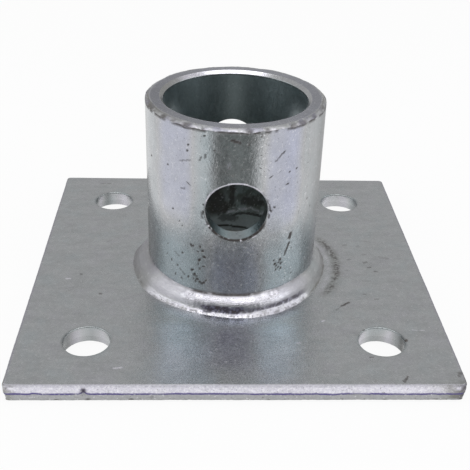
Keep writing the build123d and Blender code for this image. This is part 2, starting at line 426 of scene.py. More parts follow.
def build_tube():
    shell = tube_shell()
    p = shell.points()
    bevel, under, annulus, up_bevel = shell.named("bevel", "under", "annulus", "up_bevel")
    mouth, mouth_foot = shell.named("mouth", "mouth_foot")
    x, z = p[:, 0].copy(), p[:, 2].copy()
    radius, turn = polar(p)
    out = p * (1, 1, 0) / radius[:, None]
    lean = abs(turn)
    from_pin = np.hypot(x, z - pin_height)
    front = lean < 90
    outside = radius > tube_radius - 0.02
    inside = (radius < bore_radius + 0.02) & (z < tube_top - 0.6 * mouth_bevel)
    hole_wall = from_pin < pin_radius + 0.05

    # Waves, grain and marks of the walls, lumps on the rim, and burrs round the pin hole
    wavy = layered_noise(p, (14, 14, 30), 21)
    grain = noise(p, (1.6, 1.6, 4.0), 25)
    shift = outside * (0.035 * wavy + 0.006 * grain) + inside * (0.05 * wavy + 0.015 * grain)
    depth, dirt = marked(p, np.radians(turn) * tube_radius, z, tube_marks(), 31)
    depth, dirt = depth * outside, dirt * outside
    shift -= depth
    lumps = layered_noise(p, 1.3, 41)
    edge = outside & (abs(from_pin - pin_radius - 0.2) < 0.35)
    shift += 0.07 * bevel * lumps + 0.05 * edge * noise(p, 0.9, 51)
    p = p + out * shift[:, None]
    p[:, 2] += 0.06 * bevel * noise(p, 0.8, 47) - 0.05 * annulus * np.maximum(0, noise(p, 2.5, 48) - 0.55)

    # Dirt of the rim, where the grinder skipped, on its brown sides and in the line under it
    skipped = np.zeros(len(p))
    for lump_turn, half, extra in rim_lumps:
        skipped = np.maximum(skipped, (0.35 + extra) * bell(turns_apart(turn, lump_turn), 0, half * 1.3))
    brown_side = ramp(turns_apart(turn, -88), 55, 15) + ramp(turns_apart(turn, 92), 40, 10)
    low_bevel = bevel * ramp(up_bevel, 0.75, 0.2)
    rim_dirt = np.maximum(1.1 * skipped * bevel * ramp(up_bevel, 0.95, 0.45), 0.6 * brown_side * low_bevel)
    rim_dirt = np.minimum(rim_dirt, 0.75) * ramp(lumps + skipped, -0.1, 0.4)
    crossing = (annulus + bevel) * bell(turns_apart(turn, 5.5), 0, 1.6)
    rim_dirt = strongest(rim_dirt, 0.9 * under * patches(p, 1.8, 43, -0.8, -0.1), 0.45 * crossing)

    # What shows through the pin hole, low on the back wall's inner side
    back = inside & ~front
    _, scorched = marked(p, x, z, scorch_marks, 63)
    scorched = back * np.maximum(scorched, 0.9 * bell(x, -6.0, 4.6) * band(z, 11, 15, 25, 31))
    seam = segment_distance(x, z, (-0.6, 14.0), (8.2, 16.6))
    seam = np.minimum(seam, segment_distance(x, z, (8.2, 16.6), (13.7, 15.5)))
    seam = back * bell(seam, 0, 0.55) * patches(p, 1.0, 65, -0.9, 0.2)
    mottled = back * ramp(layered_noise(p, 1.8, 67), -0.5, 0.5) * band(z, 13, 16, 28, 33)
    inner_dirt = scorched * (0.8 + 0.2 * noise(p, 1.2, 68)) * (1 - 0.9 * seam)

    # The pin hole's outer edge: serrated below, ragged at both sides, a painted highlight above and painted
    # glints below
    hole_angle = np.degrees(np.arctan2(z - pin_height, x))
    rim_of_hole = front & (from_pin < pin_radius + 0.85) & (radius > tube_radius - 0.6)
    below = band(hole_angle, -165, -145, -35, -15)
    above = band(hole_angle, 25, 50, 155, 178) * (from_pin < pin_radius + 0.6)
    beside = ramp(abs(z - pin_height), 8.0, 3.0)
    ragged_ring = outside & front & (from_pin > pin_radius + 0.2) & (from_pin < pin_radius + 1.0)
    serrated = rim_of_hole * below * (from_pin < pin_radius + 0.5) * patches(p, 0.8, 53, -0.9, -0.4)
    hole_dirt = np.maximum(serrated, 0.8 * ragged_ring * beside * patches(p, 0.9, 55, 0.0, 0.4))
    hole_glint = rim_of_hole * np.maximum(above, below * patches(p, 0.8, 57, 0.4, 0.65))
    hole_dirt *= 1 - hole_glint

    # A thin dark line on the wall, where it meets the weld in front
    above_weld = z - plate_top - around(upper_toe_rise, turn)
    weld_line = outside * bell(above_weld, 0.1, 0.4) * band(turn, -32, -22, 8, 20)
    weld_line *= patches(p, 1.8, 69, -0.7, 0.1)
    white_spot = outside * bell(segment_distance(turn, z, (-5.5, 59.5), (-5.2, 59.5)), 0, 1.1)

    # Thin films of the plating: lavender (-1) high on both shoulders, cyan (1) lower down
    right_end = outside * band(turn, 36, 52, 96, 120) * ramp(z, 22, 36)
    lavender = np.where(turn > 0, band(turn, 12, 22, 36, 48), 0.8 * band(lean, 20, 32, 48, 62))
    film = 0.2 - 1.1 * lavender * ramp(z, 26, 46)
    film += 0.45 * band(lean, 12, 19, 26, 34) * ramp(z, 30, 44) * np.where(turn > 0, 0.6, 1.0)
    film += 0.5 * band(lean, 14, 26, 56, 72) * ramp(z, 44, 22) - 0.7 * ramp(lean, 22, 8) * ramp(z, 38, 26)
    annulus_shade = around([(-90, 0.48), (0, 0.24), (90, 0.36), (180, 0.2)], turn)
    looks = {
        "dirt": strongest(dirt, rim_dirt, inner_dirt, hole_dirt, 0.9 * weld_line),
        "olive": strongest(
            0.3 * outside * band(turn, -104, -96, -80, -72), 0.45 * bevel * brown_side, 0.12 * bevel,
            0.1 * right_end + 0.15 * right_end * ramp(turn, 58, 72), 0.5 * mottled,
            0.45 * mouth * ramp(turns_apart(turn, -80), 55, 25), 0.12 * back * band(z, 6, 8, 24, 30)),
        "violet": 0.25 * bevel * patches(p, 2.2, 45, 0.0, 0.5),
        "film": film * outside - 0.5 * annulus - 0.1 * bevel,
        # bright: painted highlights on the bevels and the pin hole's edge, painted light low on the back wall
        # and on the right
        "bright": strongest(
            0.9 * low_bevel * ramp(lean, 62, 30) * ramp(lumps, -0.2, 0.15),
            mouth * ramp(turns_apart(turn, 190), 44, 30), hole_glint, white_spot, 0.9 * seam,
            back * 0.25 * ramp(z, 13.5, 11.0) * (1 - scorched),
            0.15 * outside * band(turn, 60, 74, 100, 120)),
        "inside": np.maximum(1.0 * inside, 0.6 * hole_wall * ~outside),
        "matt": strongest(0.5 * bevel, hole_glint, seam, 0.75 * right_end * ramp(turn, 48, 66)),
        "shade": strongest(
            (annulus + bevel * ramp(up_bevel, 0.45, 0.75)) * annulus_shade, 0.45 * mouth_foot,
            0.1 * inside * bell(turns_apart(turn, 180), 0, 25), 0.45 * mottled * (1 - seam),
            0.8 * scorched * (1 - seam), 0.85 * hole_dirt, 0.55 * dirt, 0.2 * rim_dirt,
            0.35 * back * ramp(z, 7.6, 6.8),
            outside * 0.16 * band(turn, -86, -70, -30, -16) * ramp(z, 42, 30),
            outside * 0.35 * band(turn, -128, -98, -80, -66) * ramp(z, 38, 26),
            outside * 0.1 * band(lean, 12, 24, 62, 76) * ramp(z, 38, 48),
            0.12 * right_end + 0.2 * right_end * ramp(turn, 54, 72),
            outside * 0.05 * band(turn, 16, 30, 62, 76) * ramp(z, 42, 30)),
        "grit": strongest(
            outside * band(lean, -1, 0, 14, 24), outside * 0.35 * band(turn, 20, 34, 96, 140),
            outside * 0.8 * band(turn, 20, 30, 96, 140) * ramp(z, 40, 30),
            back * 0.8 * band(z, 11, 14, 30, 36), 0.3),
    }
    return shell.make("socket_tube_looks", p, looks)


# Weld bead

# Where the weld's two toes lie, read in the photograph: turn and size in mm
lower_toe_radius = [(-99, 36.3), (-79, 35.4), (-57, 35.9), (-43, 35.5), (-28, 34.9), (-13, 34.8), (1, 35.5),
                    (8, 35.8), (21, 35.6), (35, 35.2), (49, 34.6), (67, 33.9), (86, 34.6), (102, 35.2),
                    (140, 35.6), (175, 35.0), (215, 35.7), (240, 35.2)]
upper_toe_rise = [(-90, 6.2), (-56, 6.3), (-35, 5.7), (-22, 5.7), (-9, 5.9), (6, 5.8), (19, 6.1), (33, 6.3),
                  (49, 6.9), (60, 6.3), (74, 5.8), (110, 6.1), (150, 5.7), (190, 6.2), (230, 5.8)]

# How wide the lower toe is, from 0 to 1, at some turns
wide_toe = [(-110, 0.8), (-60, 0.8), (-40, 0.5), (-14, 0.5), (0, 1.0), (32, 1.0), (46, 0.5), (60, 0.2),
            (180, 0.2)]

# The weld's face from the lower toe to the upper one. Toe: share of the leg along the plate, share of the leg
# up the tube where the toe is narrow, and the same where it is wide. Crown: the two shares.
toe_face = [(1.08, -0.012, -0.012), (1.03, -0.003, 0.006), (1.0, 0.004, 0.022), (0.96, 0.02, 0.046),
            (0.92, 0.04, 0.072), (0.88, 0.062, 0.10), (0.84, 0.087, 0.128), (0.80, 0.114, 0.158),
            (0.77, 0.14, 0.183), (0.745, 0.175, 0.212), (0.725, 0.22, 0.245), (0.708, 0.27, 0.285),
            (0.69, 0.33, 0.335)]
crown_face = [(0.668, 0.40), (0.642, 0.47), (0.61, 0.54), (0.57, 0.605), (0.52, 0.665), (0.46, 0.72),
              (0.39, 0.773), (0.31, 0.825), (0.23, 0.873), (0.155, 0.917), (0.09, 0.952), (0.04, 0.98),
              (0.0, 1.0), (-0.02, 1.012)]


def build_weld():
    shell = Shell()
    turns = np.arange(0, 360, 0.4)
    middle_radius = 34.0
    ring_points = on_wall(middle_radius, turns, plate_top)
    toe = around(lower_toe_radius, turns) + 0.12 * layered_noise(ring_points, 2.2, 71)
    rise = around(upper_toe_rise, turns) + 0.10 * layered_noise(ring_points, 1.6, 75)
    wide = around(wide_toe, turns)
    even = 0.5 * ramp(turns_apart(turns, 0), 38, 62)
    rows = []
    for along, narrow_up, wide_up in toe_face + [(along, up, up) for along, up in crown_face]:
        up = narrow_up + wide * (wide_up - narrow_up)
        if 0.0 < along < 1.0:
            up = up + even * ((1 - along) ** 0.85 - up)
        place = on_wall(tube_radius + along * (toe - tube_radius), turns, plate_top + up * rise)
        rows.append(shell.add(place, along=along, height=up))
    for height in (plate_top + 0.5 * rise, plate_top - 0.06):
        rows.append(shell.add(on_wall(tube_radius - 0.05, turns, height), hidden=1.0))
    shell.join(*rows, rows[0])

    p = shell.points()
    along, height, hidden = shell.named("along", "height", "hidden")
    seen = 1 - hidden
    radius, turn = polar(p)
    outward = p * (1, 1, 0) / radius[:, None] * 0.72
    outward[:, 2] = 0.69
    ragged = 0.05 * noise(p, (2.5, 2.5, 0.8), 87)
    # Painted dark reflection, speckled: a strip low on the weld's front, and a tail of it to the right
    reflected_dark_strip = seen * band(height + ragged, 0.1, 0.18, 0.44, 0.52) * band(turn + 60 * ragged, -23, -14, 2, 9)
    reflected_dark_tail = seen * band(height + ragged, 0.18, 0.26, 0.38, 0.48) * band(turn, -2, 7, 40, 54)
    swell = 0.10 * layered_noise(p, 5.0, 81) + 0.02 * layered_noise(p, 1.1, 85)
    swell = seen * band(height, 0.0, 0.06, 0.93, 0.99) * (swell + 0.03 * reflected_dark_strip * noise(p, 0.55, 89))
    p = p + outward * swell[:, None]

    # In front: painted highlights on the lower toe and the crown, a dark speckled strip and its tail of
    # painted dark reflection, and a thin dark line at the upper toe. On the flanks: a painted shadow along
    # the toe's crevice, a stain low down, and duller metal above it.
    lean = abs(turn)
    speckle = ramp(noise(p, 0.5, 91) + 0.6 * noise(p, 1.4, 92), -0.8, 0.2)
    in_front = ramp(lean, 60, 35)
    upper_line = bell(height, 0.98, 0.05) * (0.3 + 0.7 * band(turn, -34, -24, 8, 22))
    upper_line *= seen * patches(p, 2.0, 93, -0.9, 0.1)
    flank = seen * ramp(lean, 44, 64) * ramp(lean, 150, 115)
    # A painted shadow in the crevice along the outer toe, strong on the right flank
    toe_crevice_shadow = flank * np.where(turn > 0, 0.8, 0.1) * bell(along, 0.97, 0.06)
    toe_crevice_shadow *= patches(p, 3.5, 94, -0.7, 0.5)
    low_flank = flank * ramp(height, 0.5, 0.2)
    # A painted highlight on the crown in front
    crown_highlight = seen * bell(height, 0.72, 0.24) * ramp(lean, 62, 24) * (0.85 + 0.15 * noise(p, 1.5, 96))
    toe_specks = seen * bell(height, 0.05, 0.06) * patches(p, 0.7, 95, 0.15, 0.55)
    broad = band(turn, 4, 14, 44, 58)
    # A painted highlight along the lower toe in front, broader to the right
    toe_highlight = in_front * seen * bell(height, 0.09 + 0.07 * broad, 0.09 + 0.05 * broad)
    toe_highlight *= patches(p, 0.9, 99, -0.5, 0.1) * (1 - reflected_dark_strip)
    dull_side = seen * ramp(lean, 26, 46) * ramp(height, 0.12, 0.3)
    high = seen * ramp(height, 0.25, 0.5)
    looks = {
        "dirt": strongest(0.95 * reflected_dark_strip * speckle, 0.75 * reflected_dark_tail * speckle, upper_line, 0.45 * toe_crevice_shadow,
                          0.5 * toe_specks),
        "olive": 0.6 * toe_crevice_shadow + 0.1 * low_flank,
        "violet": np.maximum(0.5 * reflected_dark_strip, 0.3 * reflected_dark_tail),
        "film": -0.35 + 0.5 * noise(p, 7.0, 97) + 0.7 * flank * (turn > 0),
        "bright": strongest(0.9 * toe_highlight, 0.8 * crown_highlight,
                            # A painted highlight on the left flank
                            0.5 * seen * band(turn, -58, -46, -34, -22) * ramp(height, 0.2, 0.4)),
        "matt": strongest(0.3 * low_flank, 0.7 * toe_highlight * broad, 0.85 * dull_side),
        "shade": strongest(
            0.75 * reflected_dark_strip * speckle, 0.3 * reflected_dark_tail * speckle, 0.6 * upper_line * in_front,
            0.2 * high * band(turn, 24, 40, 120, 150), 0.3 * seen * band(turn, 40, 66, 110, 150),
            0.12 * high * band(turn, -62, -50, -44, -28), 0.42 * seen * band(turn, -150, -110, -66, -52)),
        "grit": np.maximum(reflected_dark_strip + reflected_dark_tail, 0.25),
    }
    return shell.make("weld_bead_looks", p, looks)


# Base plate, with those sizes of its cut edges that the frame doesn't state

rolled_edge = 0.5
hole_roll = 0.3
smooth_share = 0.55
break_lean = math.tan(math.radians(8.0))
corner_radius = 1.5
hole_margin = 1.1

# Rings on the plate's top, as distances from the tube's axis
spatter_radius = 38.9
halo_radius = 36.3
cyan_strip_radius = 37.8

# Marks on the plate's top: start, end, half width, depth, dirt
plate_marks = [
    ((35.1, -30.7), (37.4, -28.2), 0.22, 0.06, 0.6), ((37.4, -28.2), (40.3, -26.0), 0.38, 0.1, 0.95),
    ((42.7, -42.3), (43.1, -42.2), 0.45, 0.15, 1.0), ((54.6, -48.0), (55.6, -47.6), 0.6, 0.15, 1.0),
    ((50.8, -68.0), (52.3, -65.6), 0.4, 0.1, 0.9), ((50.4, -67.6), (51.5, -66.9), 0.3, 0.08, 0.7),
    ((42.4, -56.3), (43.2, -56.3), 0.35, 0.08, 0.8), ((41.6, -68.2), (42.0, -67.4), 0.3, 0.05, 0.45),
    ((68.4, -65.4), (68.8, -64.0), 0.6, 0.08, 0.8), ((-54.5, 64.2), (-53.2, 64.2), 0.55, 0.05, 0.5),
    ((-51.7, 64.2), (-50.6, 64.3), 0.55, 0.05, 0.45), ((-54.3, -8.9), (-54.1, -8.9), 0.45, 0.05, 0.7),
    ((-46.0, -21.3), (-45.8, -21.3), 0.45, 0.05, 0.7), ((44.2, 12.6), (45.3, 12.9), 0.5, 0.03, 0.35),
    ((44.2, 2.2), (45.1, 2.5), 0.45, 0.03, 0.45), ((50.0, 0.1), (51.0, 0.4), 0.55, 0.04, 0.6),
    ((50.9, -3.3), (51.8, -3.2), 0.4, 0.05, 0.75), ((53.0, -6.1), (53.8, -5.9), 0.35, 0.05, 0.7),
    ((56.6, 4.0), (59.4, 3.1), 0.6, 0.03, 0.4), ((42.2, -5.6), (43.0, -5.4), 0.35, 0.03, 0.35),
    ((49.2, 11.7), (50.0, 12.2), 0.5, 0.03, 0.35), ((50.7, 5.8), (51.5, 6.3), 0.5, 0.03, 0.4),
    ((47.5, -12.5), (50.3, -12.4), 0.3, 0.03, 0.45), ((49.8, -23.9), (51.0, -24.0), 0.35, 0.05, 0.6),
    ((46.2, -20.9), (47.0, -20.8), 0.35, 0.05, 0.6), ((52.5, 16.0), (55.0, 15.2), 0.3, 0.03, 0.35),
    ((-30.5, 8.2), (-30.0, 7.6), 0.4, 0.05, 0.4), ((-47.0, 14.0), (-46.0, 15.5), 0.25, 0.03, 0.3),
    ((-58.0, -20.0), (-56.0, -18.8), 0.25, 0.03, 0.3)]

# Bright marks on the plate's top: start, end, half width
bright_marks = [((-37.6, -61.9), (-35.2, -61.5), 0.35), ((19.8, -49.2), (20.8, -49.0), 0.35),
                ((29.3, -37.4), (30.2, -36.8), 0.3), ((-8.2, -53.6), (-7.8, -54.0), 0.3),
                ((-6.2, -52.4), (-5.9, -52.2), 0.25), ((-59.0, -11.9), (-57.6, -11.9), 0.3),
                ((58.9, -42.0), (60.4, -42.1), 0.14), ((61.4, -42.1), (62.9, -42.2), 0.14)]

# Nicks that lift the break of the sheared edge: x, y, half width, rise
edge_nicks = [(-46.0, -70.0, 1.2, 0.6), (-60.8, -70.0, 1.2, 0.25), (28.8, -70.0, 2.0, -0.3),
              (69.6, -66.0, 2.5, 0.8), (70.0, -12.0, 2.0, 0.5), (40.0, 70.0, 2.0, 0.5),
              (-70.0, 22.0, 2.2, 0.5)]

# Bands of painted shade and painted light down the bolt holes' walls:
# hole's centre signs, angle round the hole, half width, and strength
painted_shade_bands = [(-1, -1, 165, 30, 0.5), (1, -1, 15, 26, 0.55), (1, 1, 20, 20, 0.3), (-1, 1, 118, 14, 0.3),
              (-1, 1, 170, 25, 0.3), (1, -1, 98, 18, 0.15), (-1, -1, 88, 18, 0.12)]
painted_light_bands = [(-1, -1, 128, 20, 0.5), (-1, -1, 55, 20, 0.4), (1, -1, 140, 18, 0.6), (1, -1, 58, 13, 0.5),
               (-1, 1, 62, 30, 0.65), (-1, 1, 145, 12, 0.4), (1, 1, 125, 28, 0.5), (1, 1, 66, 20, 0.5)]


def outline(half_x, half_y, corner, spacing):
    """A rounded rectangle, anticlockwise from the front left, with the way out at each point."""
    corners = [(half_x, -half_y, -90), (half_x, half_y, 0), (-half_x, half_y, 90), (-half_x, -half_y, 180)]
    points, normals = [], []
    side_lengths = [2 * (half_x - corner), 2 * (half_y - corner)] * 2
    start = np.array([-half_x + corner, -half_y])
    headings = np.array([(1.0, 0.0), (0.0, 1.0), (-1.0, 0.0), (0.0, -1.0)])
    for (cx, cy, first), length, heading in zip(corners, side_lengths, headings):
        steps = int(round(length / spacing))
        for i in range(steps):
            points.append(start + heading * length * i / steps)
            normals.append(np.array([heading[1], -heading[0]]))
        centre = np.array([cx - math.copysign(corner, cx), cy - math.copysign(corner, cy)])
        for i in range(9):
            a = math.radians(first + 90 * i / 8)
            normals.append(np.array([math.cos(a), math.sin(a)]))
            points.append(centre + corner * normals[-1])
        # The corner's last point becomes the start of the next side
        normals.pop()
        start = points.pop()
    return np.array(points), np.array(normals)


def fill_face(shell, outer_loop, hole_loops, extra, height, up):
    """A flat face between an outer loop and holes, each (point numbers, xy), with extra points inside it."""
    loops = [outer_loop] + hole_loops
    inner_ids = shell.add(np.column_stack([extra, np.full(len(extra), height)]))
    xy = np.concatenate([loop[1] for loop in loops] + [extra])
    ids = np.concatenate([loop[0] for loop in loops] + [inner_ids])
    edges, start = [], 0
    for loop in loops:
        count = len(loop[0])
        edges += [(start + i, start + (i + 1) % count) for i in range(count)]
        start += count
    inside_outer_loop = 1
    result = geometry.delaunay_2d_cdt([Vector(v) for v in xy], edges, [], inside_outer_loop, 1e-7, True)
    origin = [source[0] for source in result[3]]
    faces = np.array([[origin[i] for i in face] for face in result[2]])
    centre = xy[faces].mean(axis=1)
    keep = np.ones(len(faces), bool)
    for _, loop_xy in hole_loops:
        middle = loop_xy.mean(axis=0)
        keep &= np.hypot(*(centre - middle).T) > np.hypot(*(loop_xy - middle).T).min() * 0.9995
    faces = ids[faces[keep]]
    shell.faces.extend((faces if up else faces[:, ::-1]).tolist())


def plate_shell():
    """The plate's surface: the sheared edge, the four punched holes, the top and the underside."""
    shell = Shell()
    break_z = plate_top * (1 - smooth_share)
    outer_xy, outer_out = outline(plate_half_x, plate_half_y, corner_radius, 0.4)
    level_outline = np.column_stack([outer_xy, np.zeros(len(outer_xy))])
    crack = 0.10 * layered_noise(level_outline, 6.0, 105) + 0.08 * layered_noise(level_outline, 1.2, 108)
    for x, y, size, rise in edge_nicks:
        crack += rise * bell(np.hypot(outer_xy[:, 0] - x, outer_xy[:, 1] - y), 0, size)
    line_z = break_z + crack
    smooth_height = plate_top - rolled_edge - line_z

    def edge_row(inset, z, **values):
        xy = outer_xy - outer_out * np.reshape(inset, (-1, 1))
        return shell.add(np.column_stack([xy, z + np.zeros(len(xy))]), edge=1.0, **values)

    bottom_inset = break_lean * line_z + 0.05
    rows = [edge_row(corner_radius - 0.1, 0.0), edge_row(bottom_inset + 0.10, 0.02, torn=1.0),
            edge_row(bottom_inset, 0.12, torn=1.0)]
    rows += [edge_row(0.16 + bottom_inset * (1 - share), share * line_z, torn=1.0)
             for share in (0.12, 0.25, 0.38, 0.5, 0.62, 0.74, 0.84)]
    rows += [edge_row(inset, line_z + above, torn=1.0, seam=seam)
             for inset, above, seam in ((0.17, -0.34, 0.5), (0.17, -0.22, 1.0), (0.16, -0.06, 1.0))]
    rows += [edge_row(0.03, line_z + 0.06, seam=1.0), edge_row(0.0, line_z + 0.2, seam=1.0),
             edge_row(0.0, line_z + 0.34, cut=1.0, seam=0.6)]
    rows += [edge_row(0.0, line_z + share * smooth_height, cut=1.0)
             for share in (0.24, 0.36, 0.5, 0.65, 0.8, 0.92)]
    rows += [edge_row(rolled_edge * inward, plate_top - rolled_edge * down, roll=1.0)
             for down, inward in rounded((0, 18, 36, 54, 72, 90))]
    rows.append(edge_row(rolled_edge + 0.45, plate_top))
    shell.join(*rows)

    # Bolt holes: rolled over at the top, smooth, then broken out wider
    top_loops, bottom_loops = [], []
    angles = np.linspace(0, 2 * math.pi, 150, endpoint=False)
    ring_xy = np.column_stack([np.cos(angles), np.sin(angles)])
    for number, (cx, cy) in enumerate(bolt_centres):
        place = np.column_stack([ring_xy * bolt_radius + (cx, cy), np.zeros(len(angles))])
        hole_line = break_z + 0.25 * layered_noise(place, 4.0, 121 + number)
        hole_line += 0.1 * layered_noise(place, 1.0, 131 + number)

        def wall_bands(bands):
            total = np.zeros(len(angles))
            for sx, sy, angle, half, strength in bands:
                if sx * cx > 0 and sy * cy > 0:
                    total += strength * bell(turns_apart(np.degrees(angles), angle), 0, half)
            return total

        def hole_row(outset, z, **values):
            xy = ring_xy * (bolt_radius + np.reshape(outset, (-1, 1))) + (cx, cy)
            return shell.add(np.column_stack([xy, z + np.zeros(len(angles))]), **values)

        shade = wall_bands(painted_shade_bands) + 0.07 * (1 + noise(place, 2.2, 125 + number))
        on_hole_wall = {"hole": 1.0, "hole_shade": shade, "hole_painted_light": wall_bands(painted_light_bands)}
        broken = break_lean * hole_line
        smooth_height = plate_top - hole_roll - hole_line
        rows_here = [hole_row(rolled_edge + 0.5, plate_top)]
        rows_here += [hole_row(hole_roll * inward, plate_top - hole_roll * down, hole=1.0,
                               hole_shade=0.6 * shade) for down, inward in rounded((90, 72, 54, 36, 18, 0))]
        rows_here += [hole_row(0.0, hole_line + share * smooth_height, **on_hole_wall)
                      for share in (0.85, 0.68, 0.5, 0.32, 0.15, 0.02)]
        rows_here.append(hole_row(0.06, hole_line - 0.08, torn=1.0, **on_hole_wall))
        rows_here += [hole_row(0.06 + broken * (1 - share), share * hole_line, torn=1.0, **on_hole_wall)
                      for share in (0.85, 0.68, 0.5, 0.32, 0.15, 0.04)]
        rows_here += [hole_row(0.18 + broken, 0.0), hole_row(hole_margin, 0.0)]
        shell.join(*rows_here)
        here = shell.points()
        top_loops.append((rows_here[0], here[rows_here[0], :2]))
        bottom_loops.append((rows_here[-1], here[rows_here[-1], :2]))

    # Points inside the top and bottom faces: a grid, closer together at the marks and the spatter
    random = np.random.default_rng(7)

    def grid(step):
        ax = np.arange(-plate_half_x + 1.6, plate_half_x - 1.5, step)
        ay = np.arange(-plate_half_y + 1.6, plate_half_y - 1.5, step * 0.9)
        gx, gy = np.meshgrid(ax, ay)
        gx[1::2] += step / 2
        points = np.column_stack([gx.ravel(), gy.ravel()])
        return points + random.uniform(-0.08, 0.08, points.shape) * step

    def clear_of_edges(points, room):
        keep = (abs(points[:, 0]) < plate_half_x - 1.25) & (abs(points[:, 1]) < plate_half_y - 1.25)
        for cx, cy in bolt_centres:
            keep &= np.hypot(points[:, 0] - cx, points[:, 1] - cy) > bolt_radius + room
        return points[keep]

    coarse = clear_of_edges(grid(1.5), 1.6)
    fine = clear_of_edges(grid(0.31), 1.05)
    near = np.zeros(len(fine), bool)
    for mark in plate_marks + bright_marks:
        near |= segment_distance(fine[:, 0], fine[:, 1], mark[0], mark[1]) < mark[2] + 0.7
    fine_radius, fine_turn = polar(fine)
    near |= (fine_radius > 34.8) & (fine_radius < 41.0) & (fine_turn > 48) & (fine_turn < 125)
    extra = fine[near]
    keep = np.ones(len(coarse), bool)
    block_size = 500
    for i in range(0, len(coarse), block_size):
        block = coarse[i:i + block_size]
        apart = np.hypot(block[:, None, 0] - extra[None, :, 0], block[:, None, 1] - extra[None, :, 1])
        keep[i:i + block_size] = apart.min(axis=1) > 0.5
    top_points = np.concatenate([coarse[keep], extra])
    bottom_points = clear_of_edges(grid(3.0), 2.2)
    bottom_points = bottom_points[(abs(bottom_points) < plate_half_x - corner_radius - 0.5).all(axis=1)]
    p = shell.points()
    fill_face(shell, (rows[-1], p[rows[-1], :2]), top_loops, top_points, plate_top, True)
    fill_face(shell, (rows[0], p[rows[0], :2]), bottom_loops, bottom_points, 0.0, False)
    return shell


